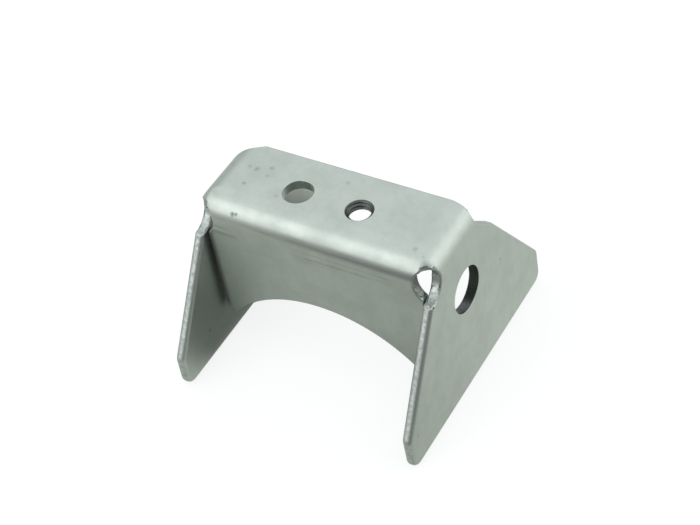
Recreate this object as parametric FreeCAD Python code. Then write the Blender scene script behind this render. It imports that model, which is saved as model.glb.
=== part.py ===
import FreeCAD, Part
import math
import os

from BOPTools import SplitAPI
from FreeCAD import Vector

# A stamped saddle bracket folded from one sheet. Its top plate lies level, a web folds down in front and
# an ear folds down on each side. The origin is on the floor, at the middle of the ears' footprint.
# X runs across the bracket, Y runs from front to rear and Z points up.

# sheet and folds
sheet_thickness = 2.5
fold_inner_radius = 3.5
neutral_share = 0.3
ear_splay_deg = 1.5

# overall sizes
overall_height = 45.1
top_width = 60.0
foot_length = 62.5

# ears, heights measured up from the floor
foot_rise = 8.9
front_edge_lean_deg = 32.5
rear_edge_lean_deg = 35.3
ear_corner_radius = 2.5
ear_hole_diameter = 11.0
ear_hole_height = 26.9
ear_hole_setback = 12.8

# web, its front face stands this far behind the tips of the ears
web_setback = 17.8
web_side_gap = 0.3
web_foot_height = 9.0
web_corner_cut = 1.4
horn_tip_width = 0.7
horn_tip_radius = 0.45
arch_height = 21.2

# top plate, measured back from the web's front face
top_depth = 20.5
hole_setback = 10.1
hole_spacing = 15.4
plain_hole_diameter = 7.0
tapped_hole_diameter = 5.0
countersink_diameter = 6.5
countersink_depth = 0.6
underside_chamfer = 0.3

# round reliefs at the front corners, placed on the flat blank from the two fold lines
relief_diameter = 9.9
relief_side_offset = 6.2
relief_front_offset = 7.1

# how far past the crossing of the fold lines the folds keep their section, before the corner turns to a ball
corner_run = 2.5

# notches in the rear edge across the side folds, placed on the flat blank, the left one cut deeper
notch_radius = 2.2
right_notch_offset = 4.6
right_notch_dip = 0.4
right_lead_deg = 15.0
right_shoulder_deg = 48.0
left_notch_offset = 4.1
left_notch_dip = 3.3
left_lead_deg = 32.5
left_shoulder_deg = 66.0

fold_outer_radius = fold_inner_radius + sheet_thickness
neutral_radius = fold_inner_radius + neutral_share * sheet_thickness
fold_angle = math.radians(90.0 - ear_splay_deg)
side_fold_length = neutral_radius * fold_angle
front_fold_length = neutral_radius * math.pi / 2.0
side_line_x = top_width / 2.0 - fold_outer_radius
fold_centre_z = overall_height - fold_outer_radius
web_face_y = web_setback - foot_length / 2.0
front_line_y = web_face_y + fold_outer_radius
rear_edge_y = web_face_y + top_depth
web_half_width = top_width / 2.0 - sheet_thickness - web_side_gap
arch_half_width = web_half_width - web_corner_cut - horn_tip_width


def ear_point(y, height, depth=0.0):
    """Point on an ear, at a height measured on its inner face and a depth in from its outer face."""
    inner_start = fold_centre_z + fold_inner_radius * math.cos(fold_angle)
    down = (inner_start - height) / math.sin(fold_angle)
    radius = fold_outer_radius - depth
    x = side_line_x + radius * math.sin(fold_angle) + down * math.cos(fold_angle)
    z = fold_centre_z + radius * math.cos(fold_angle) - down * math.sin(fold_angle)
    return Vector(x, y, z)


def point_past_side_line(out, ahead, radius):
    """Where a blank point lands when only the side fold carries it down."""
    turn = min(out / neutral_radius, fold_angle)
    down = max(out - side_fold_length, 0.0)
    x = radius * math.sin(turn) + down * math.cos(fold_angle)
    return Vector(x, -ahead, radius * math.cos(turn) - down * math.sin(fold_angle))


def point_past_front_line(out, ahead, radius):
    """Where a blank point lands when only the front fold carries it down."""
    turn = min(ahead / neutral_radius, math.pi / 2.0)
    down = max(ahead - front_fold_length, 0.0)
    return Vector(out, -radius * math.sin(turn), radius * math.cos(turn) - down)


def point_on_corner(out, ahead, radius):
    """Where a blank point lands on the pressed corner, easing into each fold near its far side."""
    turn = math.hypot(out, ahead) / neutral_radius
    heading = math.atan2(out, ahead)
    sideways = radius * math.sin(turn)
    ball = Vector(sideways * math.sin(heading), -sideways * math.cos(heading), radius * math.cos(turn))
    to_side = (out / side_fold_length) ** 4
    to_front = (ahead / front_fold_length) ** 4
    if ahead > out:
        to_side *= 1.0 - to_front
    else:
        to_front *= 1.0 - to_side
    side = point_past_side_line(out, ahead, radius)
    front = point_past_front_line(out, ahead, radius)
    return ball * (1.0 - to_side - to_front) + side * to_side + front * to_front


def folded_point(out, ahead, radius):
    """Where a point of the flat blank lands, given its distances past the two fold lines."""
    centre = Vector(side_line_x, front_line_y, fold_centre_z)
    if out <= 0.0 and ahead <= 0.0:
        return centre + Vector(out, -ahead, radius)
    if out <= 0.0 or (ahead > front_fold_length and ahead > out):
        return centre + point_past_front_line(out, ahead, radius)
    if ahead <= 0.0 or out > side_fold_length:
        return centre + point_past_side_line(out, ahead, radius)
    return centre + point_on_corner(out, ahead, radius)


def cut_wall(blank_points):
    """Face square to the folded sheet, standing on a smooth line drawn on the flat blank."""
    edges = []
    steps = [float(step) for step in range(len(blank_points))]
    for radius in (fold_inner_radius - web_side_gap / 2.0, fold_outer_radius * 1.2):
        points = [folded_point(out, ahead, radius) for out, ahead in blank_points]
        curve = Part.BSplineCurve()
        curve.interpolate(Points=points, Parameters=steps)
        edges.append(curve.toShape())
    return Part.makeRuledSurface(edges[0], edges[1])


def arc_points(centre, radius, start_deg, end_deg, steps):
    """Points round an arc on the flat blank."""
    points = []
    for step in range(steps + 1):
        angle = math.radians(start_deg + (end_deg - start_deg) * step / steps)
        points.append((centre[0] + radius * math.cos(angle), centre[1] + radius * math.sin(angle)))
    return points


def line_points(start, end, steps):
    """Points along a straight line on the flat blank."""
    points = []
    for step in range(steps + 1):
        part = step / steps
        points.append((start[0] + (end[0] - start[0]) * part, start[1] + (end[1] - start[1]) * part))
    return points


def rounded_face(corners):
    """Flat face with straight sides, each corner given as a point and its rounding radius."""
    edges = []
    last_end = None
    first_start = None
    count = len(corners)
    for index in range(count):
        point, radius = corners[index]
        before = (corners[index - 1][0] - point).normalize()
        after = (corners[(index + 1) % count][0] - point).normalize()
        start = point
        end = point
        if radius > 0.0:
            half = before.getAngle(after) / 2.0
            reach = radius / math.tan(half)
            start = point + before * reach
            end = point + after * reach
            inward = (before + after).normalize()
            middle = point + inward * (radius / math.sin(half) - radius)
        if last_end is not None:
            edges.append(Part.LineSegment(last_end, start).toShape())
        else:
            first_start = start
        if radius > 0.0:
            edges.append(Part.Arc(start, middle, end).toShape())
        last_end = end
    edges.append(Part.LineSegment(last_end, first_start).toShape())
    return Part.Face(Part.Wire(edges))


def mirrored(shape):
    """The same shape on the other side of the bracket."""
    return shape.mirror(Vector(0.0, 0.0, 0.0), Vector(1.0, 0.0, 0.0))


def fold_wedge(angle_deg, length):
    """Wedge along X from the origin that spans a fold's turn from straight up towards the front."""
    reach = fold_outer_radius * 2.0
    angle = math.radians(angle_deg)
    corner = Vector(0, -reach * math.tan(angle / 2.0), reach)
    end = Vector(0, -reach * math.sin(angle), reach * math.cos(angle))
    sector = Part.makePolygon([Vector(0, 0, 0), Vector(0, 0, reach), corner, end, Vector(0, 0, 0)])
    return Part.Face(sector).extrude(Vector(length, 0, 0))


def fold_section(angle_deg, length):
    """Ring segment swept along X from the origin, turning from straight up towards the front."""
    along = Vector(1, 0, 0)
    outer = Part.makeCylinder(fold_outer_radius, length, Vector(0, 0, 0), along)
    inner = Part.makeCylinder(fold_inner_radius, length, Vector(0, 0, 0), along)
    return outer.cut(inner).common(fold_wedge(angle_deg, length))


def top_plate():
    """Level plate between the fold lines."""
    depth = rear_edge_y - front_line_y
    corner = Vector(-side_line_x, front_line_y, overall_height - sheet_thickness)
    return Part.makeBox(side_line_x * 2.0, depth, sheet_thickness, corner)


def front_fold():
    """Fold between the top plate and the web."""
    fold = fold_section(90.0, side_line_x * 2.0)
    fold.translate(Vector(-side_line_x, front_line_y, fold_centre_z))
    return fold


def side_fold():
    """Fold between the top plate and the right ear, left long at the rear for its notch."""
    spare = sheet_thickness * 2.0
    fold = fold_section(90.0 - ear_splay_deg, rear_edge_y - front_line_y + spare)
    fold.rotate(Vector(0, 0, 0), Vector(0, 0, 1), 90.0)
    fold.translate(Vector(side_line_x, front_line_y, fold_centre_z))
    return fold


def under_both_folds(radius):
    """Solid under the front fold and the right side fold at a given radius, the two meeting in a mitre."""
    length = fold_outer_radius * 4.0
    along = Part.makeCylinder(radius, length, Vector(-length / 2.0, 0, 0), Vector(1, 0, 0))
    across = Part.makeCylinder(radius, length, Vector(0, -length / 2.0, 0), Vector(0, 1, 0))
    return along.common(across)


def corner_patch():
    """Pressed corner between the front fold and the right side fold, the relief takes most of it away."""
    reach = fold_outer_radius * 2.0
    ball = Part.makeSphere(math.hypot(fold_outer_radius, corner_run))
    block = under_both_folds(fold_outer_radius).common(ball).cut(under_both_folds(fold_inner_radius))
    wedge = fold_wedge(90.0 - ear_splay_deg, reach)
    wedge.rotate(Vector(0, 0, 0), Vector(0, 0, 1), 90.0)
    wedge.translate(Vector(0, -reach, 0))
    over_web = Part.makeBox(corner_run, reach, reach, Vector(0, -reach, 0))
    patch = block.common(wedge.fuse(over_web))
    patch.translate(Vector(side_line_x, front_line_y, fold_centre_z))
    return patch


def web_plate():
    """Front plate with the arched cut-out between its two lower horns."""
    low = web_foot_height
    right = [
        Vector(web_half_width, web_face_y, fold_centre_z),
        Vector(web_half_width, web_face_y, low + web_corner_cut),
        Vector(web_half_width - web_corner_cut, web_face_y, low),
        Vector(arch_half_width, web_face_y, low),
    ]
    left = [Vector(-point.x, point.y, point.z) for point in right]
    edges = []
    for side in (right, left):
        for start, end in zip(side, side[1:]):
            edges.append(Part.LineSegment(start, end).toShape())
    crown = Vector(0, web_face_y, arch_height)
    edges.append(Part.Arc(left[-1], crown, right[-1]).toShape())
    edges.append(Part.LineSegment(left[0], right[0]).toShape())
    face = Part.Face(Part.Wire(Part.sortEdges(edges)[0]))
    return with_round_horns(face.extrude(Vector(0, sheet_thickness, 0)))


def with_round_horns(plate):
    """Softens the two corners at the tip of each horn."""
    corners = []
    for edge in plate.Edges:
        ends = [vertex.Point for vertex in edge.Vertexes]
        goes_through = abs(ends[0].y - ends[-1].y) > sheet_thickness / 2.0
        if goes_through and ends[0].z < web_foot_height + web_corner_cut / 2.0:
            corners.append(edge)
    return plate.makeFillet(horn_tip_radius, corners)


def ear_plate():
    """Right ear, a flat plate leaning out a little, its foot longer than its top."""
    half = foot_length / 2.0
    top = fold_centre_z + fold_inner_radius * math.cos(fold_angle)
    climb = top - foot_rise
    front_top_y = -half + climb * math.tan(math.radians(front_edge_lean_deg))
    rear_top_y = half - climb * math.tan(math.radians(rear_edge_lean_deg))
    outline = [
        (ear_point(front_top_y, top), 0.0),
        (ear_point(-half, foot_rise), ear_corner_radius),
        (ear_point(-half, 0.0), ear_corner_radius),
        (ear_point(half, 0.0), ear_corner_radius),
        (ear_point(half, foot_rise), ear_corner_radius),
        (ear_point(rear_top_y, top), 0.0),
    ]
    inward = ear_point(0.0, top, sheet_thickness) - ear_point(0.0, top)
    return rounded_face(outline).extrude(inward)


def relief_wall():
    """Wall of the round relief that lets the front and right folds run out without tearing."""
    centre = (relief_side_offset, relief_front_offset)
    radius = relief_diameter / 2.0
    past_edge = web_half_width + web_side_gap / 2.0 - side_line_x
    start = math.degrees(math.acos((past_edge - centre[0]) / radius))
    return cut_wall(arc_points(centre, radius, start, 375.0, 48))


def rear_walls(notch_offset, notch_dip, lead_deg, shoulder_deg):
    """Walls of the rear edge across a side fold: a slanted lead, a round notch and the ear's shoulder."""
    edge = front_line_y - rear_edge_y
    centre = (notch_offset, edge + notch_dip - notch_radius)
    arc = arc_points(centre, notch_radius, 90.0 + lead_deg, 90.0 - shoulder_deg, 16)
    lead = math.radians(lead_deg)
    crossing = arc[0][0] - (arc[0][1] - edge) / math.tan(lead)
    walls = [cut_wall(arc)]
    if crossing > 0.0:
        walls.append(cut_wall(line_points((0.0, edge), (crossing, edge), 4)))
        walls.append(cut_wall(line_points((crossing, edge), arc[0], 4)))
    else:
        outside = (crossing - sheet_thickness / math.tan(lead), edge - sheet_thickness)
        walls.append(cut_wall(line_points(outside, arc[0], 12)))
    slope = math.radians(shoulder_deg)
    length = foot_length * 0.2
    end = (arc[-1][0] + length * math.cos(slope), arc[-1][1] - length * math.sin(slope))
    walls.append(cut_wall(line_points(arc[-1], end, 12)))
    return walls


def largest_piece(shape, walls):
    """Cuts the shape along the walls and keeps its biggest piece."""
    pieces = SplitAPI.slice(shape, walls, "Split")
    return max(pieces.Solids, key=lambda solid: solid.Volume)


def top_hole_cutters():
    """Plain hole on the left and tapped hole on the right of the top plate."""
    y = web_face_y + hole_setback
    low = overall_height - sheet_thickness
    side = hole_spacing / 2.0
    up = Vector(0, 0, 1)
    plain = Part.makeCylinder(plain_hole_diameter / 2.0, sheet_thickness * 3.0,
                              Vector(-side, y, low - sheet_thickness), up)
    tapped = Part.makeCylinder(tapped_hole_diameter / 2.0, sheet_thickness * 3.0,
                               Vector(side, y, low - sheet_thickness), up)
    small = tapped_hole_diameter / 2.0
    large = countersink_diameter / 2.0
    mouth = Part.makeCone(small, large, countersink_depth,
                          Vector(side, y, overall_height - countersink_depth), up)
    underside = Part.makeCone(small + underside_chamfer, small, underside_chamfer,
                              Vector(side, y, low), up)
    return [plain, tapped, mouth, underside]


def ear_hole_cutter():
    """Round hole square to the right ear."""
    y = web_face_y + ear_hole_setback
    start = ear_point(y, ear_hole_height, -sheet_thickness)
    inward = ear_point(y, ear_hole_height, sheet_thickness) - ear_point(y, ear_hole_height)
    return Part.makeCylinder(ear_hole_diameter / 2.0, sheet_thickness * 3.0, start, inward)


def bracket():
    """The whole folded sheet as one solid."""
    right = [side_fold(), corner_patch(), ear_plate()]
    left = [mirrored(shape) for shape in right]
    body = top_plate().multiFuse([front_fold(), web_plate()] + right + left)
    walls = [relief_wall(), mirrored(relief_wall())]
    walls += rear_walls(right_notch_offset, right_notch_dip, right_lead_deg, right_shoulder_deg)
    left_walls = rear_walls(left_notch_offset, left_notch_dip, left_lead_deg, left_shoulder_deg)
    walls += [mirrored(wall) for wall in left_walls]
    body = largest_piece(body, walls)
    ear_hole = ear_hole_cutter()
    body = body.cut(top_hole_cutters() + [ear_hole, mirrored(ear_hole)])
    body = body.removeSplitter()
    return body.Solids[0]


os.makedirs("parts", exist_ok=True)
shape = bracket()
print("valid", shape.isValid(), "faces", len(shape.Faces), "volume", round(shape.Volume, 2))
box = shape.BoundBox
print("box", round(box.XMin, 3), round(box.XMax, 3), round(box.YMin, 3), round(box.YMax, 3),
      round(box.ZMin, 3), round(box.ZMax, 3))
shape.exportStep("parts/bracket.step")
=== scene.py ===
import bpy, bmesh, math
from mathutils import Matrix, Vector


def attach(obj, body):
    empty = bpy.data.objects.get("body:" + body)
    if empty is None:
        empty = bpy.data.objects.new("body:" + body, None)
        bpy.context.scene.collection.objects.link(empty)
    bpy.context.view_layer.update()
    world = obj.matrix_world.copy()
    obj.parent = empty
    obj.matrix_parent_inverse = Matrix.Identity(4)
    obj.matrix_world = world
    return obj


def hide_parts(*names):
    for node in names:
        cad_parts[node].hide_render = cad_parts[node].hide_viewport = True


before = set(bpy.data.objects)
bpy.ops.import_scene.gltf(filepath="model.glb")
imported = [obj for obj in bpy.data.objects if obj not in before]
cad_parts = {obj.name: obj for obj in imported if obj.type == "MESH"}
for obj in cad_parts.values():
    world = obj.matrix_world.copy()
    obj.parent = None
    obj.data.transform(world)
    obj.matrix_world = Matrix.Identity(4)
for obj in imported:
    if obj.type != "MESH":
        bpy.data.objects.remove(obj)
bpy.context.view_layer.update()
scene = bpy.context.scene
millimetre = 0.001


def mm(*numbers):
    return Vector(numbers) * millimetre


# the folded sheet, sizes in millimetres
sheet = {
    "mergeGap": 0.001,       # points closer than this become one
    "flatAngle": 0.4,        # triangles closer than this in angle become one face
    "sharpAngle": 25.0,      # a harder corner than this is a cut edge
    "topFaceZ": 45.1,
    "undersideZ": 42.6,
    # where the folds' strips are cut across (0 is X, 1 is Y), and how low the folds reach
    "crossCuts": ((0, (-23.3, 23.3)), (1, (-8.1, 2.2))),
    "foldsFrom": 39.1,
    "levelNormal": 0.9999,   # faces more level than this aren't cut
    # rounding of the cut edges: the outline, the web's thin horns and arch, the rims of the holes
    "rounding": {"outline": 1.0, "relief": 0.50, "web": 0.30, "rim": 0.22, "thread": 0.0},
    "segments": 4,
    "normalWeight": 80,      # how far large faces lead the shading of the rounded edges
    # the reliefs and the notches lie higher than this, the ears' rear edges further back than this
    "reliefFrom": 34.5,
    "rearFrom": 6.0,
    "cornerRadius": 2.5,
    # above the reliefs the outer skin's creases harder than this angle are eased: how far out and
    # in front of which Y they lie, how strongly and how often
    "cornerCrease": 15.0,
    "cornerFrom": (24.5, -8.2),
    "cornerEase": 0.4,
    "cornerPasses": 2,
    # a crease shorter than this that meets a rim more narrowly than this angle is taken out
    "creaseLength": 1.2,
    "wedge": 35.0,
    # the web's narrow edges lie between its two faces, not further out than this
    "webFaces": (-13.45, -10.95),
    "webReach": 27.3,
    # the three smooth holes: the axis they lie along, centre across it, radius; how true their rims are
    "rims": (("x", (-0.65, 26.9), 5.5), ("z", (-7.7, -3.35), 3.5)),
    "rimGap": 0.15,
    "earsFrom": 20.0,        # holes further out than this are the ears'
}

# the thread and its two lead-ins in the tapped hole
tapping = {
    "centre": (7.7, -3.35),
    "rimRadius": 3.25,
    "mouthDepth": 0.6,
    "minorRadius": 2.5,
    "majorRadius": 3.0,
    "pitch": 1.0,
    "undersideRadius": 2.8,
    "grooveWidth": 1.25,     # over 1 the groove's bottom is flat
    "leadIn": 1.5,           # slope by which the thread deepens from the underside
    "reach": 0.05,           # the hole's own points lie no further outside its rim
    "rows": 42,
}


def mergedCopy(node):
    form = bmesh.new()
    form.from_mesh(node.data)
    bmesh.ops.remove_doubles(form, verts=form.verts, dist=sheet["mergeGap"] * millimetre)
    print("open edges", sum(1 for e in form.edges if len(e.link_faces) != 2))
    bmesh.ops.dissolve_limit(form, angle_limit=math.radians(sheet["flatAngle"]),
                             verts=form.verts, edges=form.edges, use_dissolve_boundaries=False)
    cutStrips(form)
    return form


def cutStrips(form):
    # the folds' long strips are cut across, so that rounding a rim leaves the rest of each fold alone
    lowest = sheet["foldsFrom"] * millimetre - 1e-6
    for axis, places in sheet["crossCuts"]:
        for place in places:
            flank = [f for f in form.faces if abs(f.normal.z) < sheet["levelNormal"]
                     and all(v.co.z > lowest for v in f.verts)]
            # each edge and point once, always in the same order
            edges = dict.fromkeys(e for f in flank for e in f.edges)
            points = dict.fromkeys(v for f in flank for v in f.verts)
            geom = flank + list(edges) + list(points)
            spot = Vector((0, 0, 0))
            way = Vector((0, 0, 0))
            spot[axis] = place * millimetre
            way[axis] = 1.0
            bmesh.ops.bisect_plane(form, geom=geom, dist=1e-7, plane_co=spot, plane_no=way)


def isSharp(edge):
    return len(edge.link_faces) == 2 and edge.calc_face_angle(0) > math.radians(sheet["sharpAngle"])


def spreadSkin(seed):
    # one side of the sheet is all that joins the seed face without crossing a sharp edge
    skin = {seed}
    waiting = [seed]
    while waiting:
        for edge in waiting.pop().edges:
            if isSharp(edge):
                continue
            for face in edge.link_faces:
                if face not in skin:
                    skin.add(face)
                    waiting.append(face)
    return skin


def largestAt(form, height):
    level = [f for f in form.faces if abs(f.calc_center_median().z - height * millimetre) < 1e-5]
    return max(level, key=lambda f: f.calc_area())


def markCutFaces(form):
    # material 0 is the plated skin, 1 the cut faces
    skin = spreadSkin(largestAt(form, sheet["topFaceZ"])) | spreadSkin(largestAt(form, sheet["undersideZ"]))
    for face in form.faces:
        face.material_index = 0 if face in skin else 1


def threadRadius(angle, depth):
    # the widest of the thread, the mouth's countersink and the underside's chamfer
    height = sheet["topFaceZ"] - sheet["undersideZ"] - depth
    turn = (height / tapping["pitch"] - angle / math.tau) % 1.0
    groove = min(1.0, tapping["grooveWidth"] * (1.0 - abs(2.0 * turn - 1.0)))
    thread = tapping["minorRadius"] + groove * (tapping["majorRadius"] - tapping["minorRadius"])
    thread = min(thread, tapping["undersideRadius"] + tapping["leadIn"] * height)
    mouthSlope = (tapping["rimRadius"] - tapping["minorRadius"]) / tapping["mouthDepth"]
    mouth = tapping["rimRadius"] - mouthSlope * depth
    leadOut = tapping["undersideRadius"] - height
    return max(thread, mouth, leadOut)


def cutThread(form):
    # the tapped hole's plain wall gives way to a thread, in rows from the top down
    centre = Vector(tapping["centre"]) * millimetre
    reach = (tapping["rimRadius"] + tapping["reach"]) * millimetre
    wall = [f for f in form.faces if all((v.co.xy - centre).length < reach for v in f.verts)]
    bmesh.ops.delete(form, geom=wall, context="FACES")
    rims = [e for e in form.edges if e.is_boundary]
    bmesh.ops.subdivide_edges(form, edges=rims, cuts=1)
    middle = (sheet["topFaceZ"] + sheet["undersideZ"]) / 2 * millimetre
    rims = [e for e in form.edges if e.is_boundary]
    ring = [e for e in rims if e.verts[0].co.z > middle]
    foot = [e for e in rims if e.verts[0].co.z < middle]
    for edges, radius in ((ring, tapping["rimRadius"]), (foot, tapping["undersideRadius"])):
        for vert in {v for e in edges for v in e.verts}:
            spoke = (vert.co.xy - centre).normalized() * radius * millimetre
            vert.co.xy = centre + spoke
    thickness = sheet["topFaceZ"] - sheet["undersideZ"]
    for row in range(1, tapping["rows"]):
        depth = thickness * row / tapping["rows"]
        grown = bmesh.ops.extrude_edge_only(form, edges=ring)["geom"]
        ring = [g for g in grown if isinstance(g, bmesh.types.BMEdge)
                and all(v in grown for v in g.verts)]
        for vert in [g for g in grown if isinstance(g, bmesh.types.BMVert)]:
            spoke = vert.co.xy - centre
            angle = math.atan2(spoke.y, spoke.x)
            vert.co.xy = centre + spoke.normalized() * threadRadius(angle, depth) * millimetre
            vert.co.z = (sheet["topFaceZ"] - depth) * millimetre
    bmesh.ops.bridge_loops(form, edges=ring + foot)
    # the thread takes the dark wall, with its painted shade
    for face in form.faces:
        if all((v.co.xy - centre).length < reach for v in face.verts):
            face.material_index = 2


def edgeKind(edge):
    # which rounding an edge takes
    spots = [v.co / millimetre for v in edge.verts]
    middle = (spots[0] + spots[1]) / 2
    tapped = Vector(tapping["centre"])
    if all((p.xy - tapped).length < tapping["rimRadius"] + tapping["reach"] for p in spots):
        return "thread"
    for axis, centre, radius in sheet["rims"]:
        flat = [p.yz if axis == "x" else p.xy for p in spots]
        if all(abs((f - Vector(centre)).length - radius) < sheet["rimGap"] for f in flat):
            return "rim"
    if middle.z > sheet["reliefFrom"]:
        return "relief"
    front, back = sheet["webFaces"]
    if all(front - 0.01 < p.y < back + 0.01 and abs(p.x) < sheet["webReach"] for p in spots):
        return "web"
    if middle.y > sheet["rearFrom"] and middle.z > sheet["cornerRadius"]:
        return "relief"
    return "outline"


def edgeRounding(edge):
    kind = edgeKind(edge)
    width = sheet["rounding"][kind]
    middle = (edge.verts[0].co + edge.verts[1].co) / 2 / millimetre
    if kind == "outline" and middle.y > sheet["rearFrom"]:
        # round each rear foot the outline's rounding narrows to the rear edges'
        climb = min(1.0, max(0.0, middle.z / sheet["cornerRadius"]))
        width += (sheet["rounding"]["relief"] - width) * climb
    return width


def openWedges(form):
    # where a short crease in the skin runs in beside a rim, the sliver between them joins its
    # neighbour, so that the rounding has room
    short, tight = sheet["creaseLength"] * millimetre, math.radians(sheet["wedge"])
    slivers = []
    for vert in form.verts:
        rims = [e for e in vert.link_edges if isSharp(e) and edgeKind(e) == "relief"]
        for crease in vert.link_edges if rims else []:
            if crease in rims or any(f.material_index for f in crease.link_faces):
                continue
            way = crease.other_vert(vert).co - vert.co
            narrow = min(way.angle(r.other_vert(vert).co - vert.co) for r in rims)
            if crease.calc_length() < short and narrow < tight and crease not in slivers:
                slivers.append(crease)
    print("slivers", len(slivers))
    bmesh.ops.dissolve_edges(form, edges=slivers, use_verts=False)


def softenCorners(form):
    # above each relief the outer skin's creases, where the two folds meet, are eased
    crease = math.radians(sheet["cornerCrease"])
    out, front = mm(*sheet["cornerFrom"], 0).xy
    spots = [v for v in form.verts if v.co.z > sheet["reliefFrom"] * millimetre
             and v.co.y < front and abs(v.co.x) > out
             and not any(isSharp(e) for e in v.link_edges)
             and any(e.calc_face_angle(0) > crease for e in v.link_edges)]
    print("eased corner points", len(spots))
    for turn in range(sheet["cornerPasses"]):
        bmesh.ops.smooth_vert(form, verts=spots, factor=sheet["cornerEase"],
                              use_axis_x=True, use_axis_y=True, use_axis_z=True)


def weighEdges(form):
    # each cut edge gets its share of the widest rounding
    widest = max(sheet["rounding"].values())
    layer = form.edges.layers.float.new("bevel_weight_edge")
    for edge in form.edges:
        if isSharp(edge) and any(f.material_index for f in edge.link_faces):
            edge[layer] = edgeRounding(edge) / widest


def finishHoles(form):
    # the ears' holes take the dark wall, painted shade inside them, the plain hole on top is plated through
    out = sheet["earsFrom"] * millimetre
    for face in form.faces:
        if face.material_index == 1 and all(edgeKind(e) == "rim" for e in face.edges):
            face.material_index = 2 if abs(face.calc_center_median().x) > out else 0


def roundEdges(piece):
    bevel = piece.modifiers.new("rounding", "BEVEL")
    bevel.limit_method = "WEIGHT"
    bevel.offset_type = "OFFSET"
    bevel.width = max(sheet["rounding"].values()) * millimetre
    bevel.segments = sheet["segments"]
    bevel.profile = 0.5
    bevel.material = -1
    bevel.use_clamp_overlap = False
    bevel.loop_slide = False
    shading = piece.modifiers.new("evenShading", "WEIGHTED_NORMAL")
    shading.weight = sheet["normalWeight"]
    shading.keep_sharp = True


def stampedSheet():
    form = mergedCopy(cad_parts["bracket"])
    markCutFaces(form)
    cutThread(form)
    openWedges(form)
    softenCorners(form)
    weighEdges(form)
    finishHoles(form)
    for face in form.faces:
        face.smooth = True
    mesh = bpy.data.meshes.new("stampedSheet")
    form.to_mesh(mesh)
    form.free()
    piece = bpy.data.objects.new("stampedSheet", mesh)
    scene.collection.objects.link(piece)
    roundEdges(piece)
    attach(piece, "root")
    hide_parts("bracket")
    print("sheet", len(mesh.vertices), "points", len(mesh.polygons), "faces")
    return piece


# zinc plated steel: sizes in millimetres, noise scales to the millimetre
plating = {
    "colour": (0.515, 0.562, 0.520, 1),
    "shade": (0.430, 0.468, 0.438, 1),
    "shadeShare": 0.35,
    "roughness": 0.40,
    "cloudRoughness": 0.08,
    "soilAndShadeRoughness": 0.2,
    "cloud": 0.16,
    "grain": 2.2,
    "grainHeight": 0.004,
    # specks, blotches: noise scale, between which noise levels they grow, share and colour
    "speck": ((0.45, 0.75), 0.10, (0.30, 0.33, 0.31, 1)),
    "blotch": (0.45, (0.42, 0.68), 0.16, (0.38, 0.43, 0.41, 1)),
    # painted shade in the crease between the web and the left ear: its line, how wide it spreads, strength
    "crease": ((-27.3, -13.45), 2.2, 0.88),
    "creaseFrom": (9.0, 13.0),
    # the front fold and the web begin here, back to front
    "front": (-9.0, -10.0),
    # drawing lines along the front fold: between which heights, how strong, colour
    "drawLines": ((33.0, 37.5, 40.6, 41.8), 0.85, (0.27, 0.29, 0.22, 1)),
    # painted shade along the line where the front fold runs out, a dark band under its highlight: heights,
    # how it comes in from the left, strength, colour
    "foldShadeLine": ((39.0, 40.3, 40.9, 42.0), (-18.0, 6.0), 0.55, (0.26, 0.285, 0.275, 1)),
    # the colour that the darker marks and the painted crease shade blend towards, and their greatest share
    "soilAndShadeColour": (0.13, 0.14, 0.135, 1),
    "soilAndShadeMost": 0.9,
    # the marks' ragged outline: noise scale, how far it shifts them
    "ragged": (1.3, 0.9),
    # centre, radius and strength of each darker mark
    "marks": (
        ((-20.11, -0.47, 45.1), 0.9, 0.35), ((-17.11, 1.05, 45.1), 0.8, 0.30),
        ((-22.13, -0.22, 45.1), 0.8, 0.25), ((-16.79, -1.59, 45.1), 0.7, 0.25),
        ((-20.42, -5.43, 45.1), 0.7, 0.40), ((-11.54, -6.32, 45.1), 0.8, 0.20),
        ((1.18, 3.1, 45.1), 0.9, 0.20), ((24.2, -9.0, 45.1), 0.9, 0.35),
        ((-19.6, -12.56, 42.25), 0.8, 0.70), ((-18.7, -12.4, 42.5), 0.6, 0.60),
        ((30.45, 14.39, 22.1), 0.5, 0.45), ((30.8, -28.22, 8.63), 0.6, 0.35),
        ((-27.72, -20.29, 30.6), 0.6, 0.35), ((-28.3, -20.3, 8.62), 0.7, 0.35),
    ),
}

# the cut faces: bright and dark colour, roughness, noise scales of the tears and of the fine grain
shearing = {
    "colours": ((0.50, 0.54, 0.51, 1), (0.38, 0.41, 0.39, 1)),
    "roughness": (0.38, 0.56),
    "tear": 1.1,
    "fine": 4.0,
    "height": 0.03,
}

# the walls of the tapped hole and of the ears' holes, whose dark colours are painted shade
darkWall = {
    "colours": ((0.13, 0.142, 0.136, 1), (0.08, 0.088, 0.084, 1)),
    "roughness": (0.30, 0.45),
    "fine": 3.0,
    "height": 0.006,
}


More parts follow.
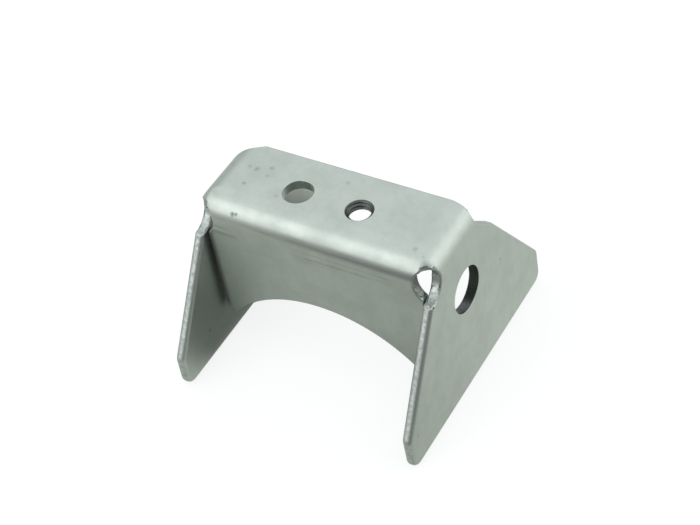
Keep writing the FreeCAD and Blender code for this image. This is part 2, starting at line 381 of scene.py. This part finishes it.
class Wiring:
    # short calls for the nodes of a material or of the sky
    def __init__(self, owner):
        owner.use_nodes = True
        self.owner = owner
        self.nodes = owner.node_tree.nodes
        self.links = owner.node_tree.links
        self.shader = self.nodes.get("Principled BSDF")

    def add(self, kind, **settings):
        node = self.nodes.new(kind)
        for key, value in settings.items():
            setattr(node, key, value)
        return node

    def join(self, source, target):
        self.links.new(source, target)

    def put(self, socket, value):
        if isinstance(value, bpy.types.NodeSocket):
            self.links.new(value, socket)
        else:
            socket.default_value = value

    def math(self, operation, first, second=0.0):
        node = self.add("ShaderNodeMath", operation=operation)
        self.put(node.inputs[0], first)
        self.put(node.inputs[1], second)
        return node.outputs[0]

    def times(self, first, *others):
        for other in others:
            first = self.math("MULTIPLY", first, other)
        return first

    def spread(self, value, fromLow, fromHigh, low=0.0, high=1.0):
        # a smooth step: from the first two numbers to the last two
        node = self.add("ShaderNodeMapRange", interpolation_type="SMOOTHSTEP")
        self.put(node.inputs["Value"], value)
        for key, number in (("From Min", fromLow), ("From Max", fromHigh), ("To Min", low), ("To Max", high)):
            self.put(node.inputs[key], number)
        return node.outputs[0]

    def between(self, value, low, full, top, end):
        # 1 from full to top, 0 below low and above end
        return self.times(self.spread(value, low, full), self.spread(value, end, top))

    def blend(self, amount, first, second):
        node = self.add("ShaderNodeMix", data_type="RGBA")
        self.put(node.inputs["Factor"], amount)
        self.put(node.inputs[6], first)
        self.put(node.inputs[7], second)
        return node.outputs[2]

    def level(self, amount, first, second):
        node = self.add("ShaderNodeMix", data_type="FLOAT")
        self.put(node.inputs["Factor"], amount)
        self.put(node.inputs[2], first)
        self.put(node.inputs[3], second)
        return node.outputs[0]

    def place(self, stretch=(1, 1, 1)):
        # object coordinates in millimetres
        where = self.add("ShaderNodeTexCoord")
        mapping = self.add("ShaderNodeMapping")
        mapping.inputs["Scale"].default_value = [s / millimetre for s in stretch]
        self.join(where.outputs["Object"], mapping.inputs["Vector"])
        return mapping.outputs["Vector"]

    def noise(self, vector, scale, detail=3.0, roughness=0.55):
        node = self.add("ShaderNodeTexNoise")
        self.join(vector, node.inputs["Vector"])
        node.inputs["Scale"].default_value = scale
        node.inputs["Detail"].default_value = detail
        node.inputs["Roughness"].default_value = roughness
        return node.outputs["Fac"]

    def vector(self, operation, first, second, output="Vector"):
        node = self.add("ShaderNodeVectorMath", operation=operation)
        self.join(first, node.inputs[0])
        self.put(node.inputs["Scale" if operation == "SCALE" else 1], second)
        return node.outputs[output]

    def parts(self, vector):
        node = self.add("ShaderNodeSeparateXYZ")
        self.join(vector, node.inputs[0])
        return node.outputs

    def mark(self, vector, centre, radius):
        # 1 round the centre, 0 outside the radius
        distance = self.vector("DISTANCE", vector, centre, "Value")
        return self.spread(distance, radius, 0.15 * radius)

    def metal(self, colour, rough, height, depth):
        self.join(colour, self.shader.inputs["Base Color"])
        self.shader.inputs["Metallic"].default_value = 1.0
        self.join(rough, self.shader.inputs["Roughness"])
        node = self.add("ShaderNodeBump")
        self.put(node.inputs["Height"], height)
        node.inputs["Distance"].default_value = depth * millimetre
        node.inputs["Strength"].default_value = 1.0
        self.join(node.outputs["Normal"], self.shader.inputs["Normal"])
        return self.owner


def soilAndCreaseShade(w, point):
    # the darker marks, and the painted shade in the left crease
    scale, shift = plating["ragged"]
    jitter = w.add("ShaderNodeTexNoise")
    w.join(point, jitter.inputs["Vector"])
    jitter.inputs["Scale"].default_value = scale
    ragged = w.vector("ADD", point, w.vector("SCALE", jitter.outputs["Color"], shift))
    ragged = w.vector("SUBTRACT", ragged, [shift / 2] * 3)
    soilAndShade = 0.0
    for centre, radius, strength in plating["marks"]:
        soilAndShade = w.math("ADD", soilAndShade, w.times(w.mark(ragged, centre, radius), strength))
    line, width, strength = plating["crease"]
    crease = w.mark(w.vector("MULTIPLY", point, (1, 1, 0)), (*line, 0), width)
    height = w.parts(point)["Z"]
    crease = w.times(crease, w.spread(height, *plating["creaseFrom"]), strength)
    return w.math("ADD", soilAndShade, crease)


def foldLines(w, point):
    # the drawing lines, and the painted shade line under the highlight along the front fold
    x, y, z = w.parts(point)
    front = w.spread(y, *plating["front"])
    heights, drawn, drawnColour = plating["drawLines"]
    streak = w.spread(w.noise(w.place((0.012, 0.012, 1.0)), 1.25, 2.0, 0.5), 0.50, 0.72)
    patches = w.spread(w.noise(point, 0.12, 2.0), 0.35, 0.6)
    streak = w.times(streak, patches, w.between(z, *heights), front, drawn)
    # the painted shade line: a dark band under the front fold's highlight
    heights, comesIn, shadeStrength, shadeLineColour = plating["foldShadeLine"]
    line = w.times(w.between(z, *heights), w.spread(x, *comesIn), shadeStrength, front)
    uneven = w.noise(w.place((0.05, 0.05, 1.0)), 0.9, 2.0)
    line = w.times(line, w.spread(uneven, 0.3, 0.6, 0.45, 1.0))
    return (streak, drawnColour), (line, shadeLineColour)


def platedSteel():
    w = Wiring(bpy.data.materials.new("platedSteel"))
    point = w.place()
    cloud = w.noise(point, plating["cloud"], 4.0, 0.6)
    grain = w.noise(point, plating["grain"], 3.0, 0.6)
    soilAndShade = soilAndCreaseShade(w, point)
    shade = w.times(w.spread(cloud, 0.35, 0.7), plating["shadeShare"])
    colour = w.blend(shade, plating["colour"], plating["shade"])
    levels, share, tint = plating["speck"]
    colour = w.blend(w.times(w.spread(grain, *levels), share), colour, tint)
    for amount, tint in foldLines(w, point):
        colour = w.blend(amount, colour, tint)
    scale, levels, share, tint = plating["blotch"]
    blotch = w.spread(w.noise(point, scale, 3.0, 0.6), *levels)
    colour = w.blend(w.times(blotch, share), colour, tint)
    # the darker marks and the painted shade in the left crease darken the colour
    colour = w.blend(w.math("MINIMUM", soilAndShade, plating["soilAndShadeMost"]), colour, plating["soilAndShadeColour"])
    rough = w.spread(cloud, 0.3, 0.7, 0.0, plating["cloudRoughness"])
    rough = w.math("ADD", rough, plating["roughness"])
    rough = w.math("ADD", rough, w.times(soilAndShade, plating["soilAndShadeRoughness"]))
    return w.metal(colour, rough, grain, plating["grainHeight"])


def shearedSteel():
    w = Wiring(bpy.data.materials.new("shearedSteel"))
    point = w.place()
    tear = w.noise(point, shearing["tear"], 4.0, 0.65)
    fine = w.noise(point, shearing["fine"], 3.0, 0.6)
    colour = w.blend(w.spread(tear, 0.38, 0.68), *shearing["colours"])
    rough = w.spread(tear, 0.3, 0.7, *shearing["roughness"])
    return w.metal(colour, rough, w.math("ADD", tear, w.times(fine, 0.3)), shearing["height"])


def paintedShadeWall():
    w = Wiring(bpy.data.materials.new("paintedShadeWall"))
    fine = w.noise(w.place(), darkWall["fine"], 3.0, 0.6)
    # the dark wall's colours are painted shade in the holes
    colour = w.blend(fine, *darkWall["colours"])
    rough = w.spread(fine, 0.3, 0.7, *darkWall["roughness"])
    return w.metal(colour, rough, fine, darkWall["height"])


# where the photograph was taken from, millimetres and degrees
viewpoint = {
    "target": (10.32, -13.45, 39.82),
    "azimuth": 37.48,
    "elevation": 45.09,
    "roll": -10.89,
    "distance": 347.3,
    "lens": 84.81,
    "sensor": 36.0,
}


def placeCamera():
    az, el, roll = (math.radians(viewpoint[k]) for k in ("azimuth", "elevation", "roll"))
    back = Vector((math.sin(az) * math.cos(el), -math.cos(az) * math.cos(el), math.sin(el)))
    right = Vector((math.cos(az), math.sin(az), 0.0))
    up = back.cross(right)
    across = math.cos(roll) * right + math.sin(roll) * up
    upwards = -math.sin(roll) * right + math.cos(roll) * up
    turn = Matrix((across, upwards, back)).transposed().to_4x4()
    data = bpy.data.cameras.new("viewpoint")
    data.sensor_width = viewpoint["sensor"]
    data.lens = viewpoint["lens"]
    data.clip_start = 0.01
    camera = bpy.data.objects.new("viewpoint", data)
    place = mm(*viewpoint["target"]) + back * viewpoint["distance"] * millimetre
    camera.matrix_world = Matrix.Translation(place) @ turn
    scene.collection.objects.link(camera)
    scene.camera = camera


# lengths in metres here
studio = {
    # lamps: direction from the part, distance, size, power in watts; and the point they face
    "lamps": (
        ("windowLamp", (-0.43, -0.80, 0.37), 0.60, 0.58, 1.0),
        ("sideLamp", (0.84, 0.54, 0.16), 0.60, 0.55, 0.8),
    ),
    "lampsFace": (0.0, -0.005, 0.035),
    # brightness of the sky near the floor and overhead, and how high up it is full
    "horizon": 0.45,
    "zenith": 1.16,
    "skyRise": (0.0, 0.70),
    # the dim side of the room, where the photographer stands, and how wide it is
    "dimSide": (0.42, -0.88, 0.05),
    "dimEdges": (0.55, 0.95),
    "dimShare": 0.75,
    # the paper's own tone, and how bright it mirrors as painted tones: round the part darker in front than
    # behind, a painted shadow under it and painted shade out in front
    "paperTone": 0.80,
    "around": (0.66, 0.79),
    "underPart": 0.165,
    "inFront": 0.20,
    # how far out towards the dim side the paper begins and ends its fall
    "fall": (0.040, 0.085),
    # where it turns from the front's tone to the rear's
    "aroundFrom": (-0.020, 0.020),
    # where the part's shade on it begins and is full: from the sides, the front and the rear
    "underSides": (0.031, 0.026),
    "underFront": (-0.030, -0.018),
    "underRear": (0.040, 0.028),
    "floorRadius": 3.0,
    "floorZ": -0.0002,
    # tints of the sky and of the mirrored paper
    "skyTint": (0.945, 0.978, 1.0, 1),
    "paperTint": (0.95, 1.0, 0.935, 1),
    # the camera sees this share of clear white on the floor, and the rest as lit paper
    "whiteShare": 0.70,
    "clearTone": 1.12,
}


def placeLamps():
    middle = Vector(studio["lampsFace"])
    for name, direction, distance, size, power in studio["lamps"]:
        data = bpy.data.lights.new(name, "AREA")
        data.shape = "DISK"
        data.size = size
        data.energy = power
        lamp = bpy.data.objects.new(name, data)
        way = Vector(direction).normalized()
        turn = way.to_track_quat("Z", "Y").to_matrix().to_4x4()
        lamp.matrix_world = Matrix.Translation(middle + way * distance) @ turn
        scene.collection.objects.link(lamp)


def cameraSees(w, path):
    return w.math("MAXIMUM", path["Is Camera Ray"], path["Is Transmission Ray"])


def paintSky():
    # the camera sees white, the part a sky with a dim side
    world = bpy.data.worlds.new("studio")
    scene.world = world
    w = Wiring(world)
    where = w.add("ShaderNodeTexCoord").outputs["Generated"]
    glow = w.spread(w.parts(where)["Z"], *studio["skyRise"], studio["horizon"], studio["zenith"])
    facing = w.vector("DOT_PRODUCT", where, Vector(studio["dimSide"]).normalized(), "Value")
    dim = w.spread(facing, *studio["dimEdges"], 0.0, studio["dimShare"])
    glow = w.times(glow, w.math("SUBTRACT", 1.0, dim))
    seen = cameraSees(w, w.add("ShaderNodeLightPath").outputs)
    soft = w.nodes["Background"]
    w.join(w.level(seen, glow, 1.0), soft.inputs["Strength"])
    w.join(w.blend(seen, studio["skyTint"], (1, 1, 1, 1)), soft.inputs["Color"])


def paperMirrored(w):
    # how bright the metal sees the paper, as painted tones: a painted shadow under the part and painted shade
    # out towards the dim side
    x, y, z = w.parts(w.add("ShaderNodeTexCoord").outputs["Object"])
    under = w.times(w.spread(w.math("ABSOLUTE", x), *studio["underSides"]),
                    w.spread(y, *studio["underFront"]), w.spread(y, *studio["underRear"]))
    way = Vector(studio["dimSide"]).normalized()
    ahead = w.math("ADD", w.times(x, way.x), w.times(y, way.y))
    around = w.spread(y, *studio["aroundFrom"], *studio["around"])
    tone = w.level(under, around, studio["underPart"])
    return w.level(w.spread(ahead, *studio["fall"]), tone, studio["inFront"])


def floorPaper():
    w = Wiring(bpy.data.materials.new("floorPaper"))
    path = w.add("ShaderNodeLightPath").outputs
    camera = cameraSees(w, path)
    # the camera sees white with the part's soft shadow
    white = w.add("ShaderNodeEmission")
    # glossy rays see the painted tones of paperMirrored, with the painted shadow under the part
    w.join(w.level(camera, paperMirrored(w), studio["clearTone"]), white.inputs["Strength"])
    w.join(w.blend(camera, studio["paperTint"], (1, 1, 1, 1)), white.inputs["Color"])
    paper = w.shader
    paper.inputs["Base Color"].default_value = (*[studio["paperTone"]] * 3, 1)
    paper.inputs["Roughness"].default_value = 0.9
    paper.inputs["Specular IOR Level"].default_value = 0.0
    mix = w.add("ShaderNodeMixShader")
    glowing = w.times(camera, studio["whiteShare"])
    w.join(w.math("MAXIMUM", glowing, path["Is Glossy Ray"]), mix.inputs[0])
    w.join(paper.outputs[0], mix.inputs[1])
    w.join(white.outputs[0], mix.inputs[2])
    w.join(mix.outputs[0], w.nodes["Material Output"].inputs["Surface"])
    return w.owner


def layFloor():
    form = bmesh.new()
    bmesh.ops.create_circle(form, cap_ends=True, radius=studio["floorRadius"], segments=96)
    mesh = bpy.data.meshes.new("floor")
    form.to_mesh(mesh)
    form.free()
    floor = bpy.data.objects.new("floor", mesh)
    floor.location.z = studio["floorZ"]
    scene.collection.objects.link(floor)
    mesh.materials.append(floorPaper())


piece = stampedSheet()
for finish in (platedSteel(), shearedSteel(), paintedShadeWall()):
    piece.data.materials.append(finish)
print("finishes done")
placeCamera()
placeLamps()
paintSky()
layFloor()
scene.view_settings.view_transform = "Standard"
print("studio done")
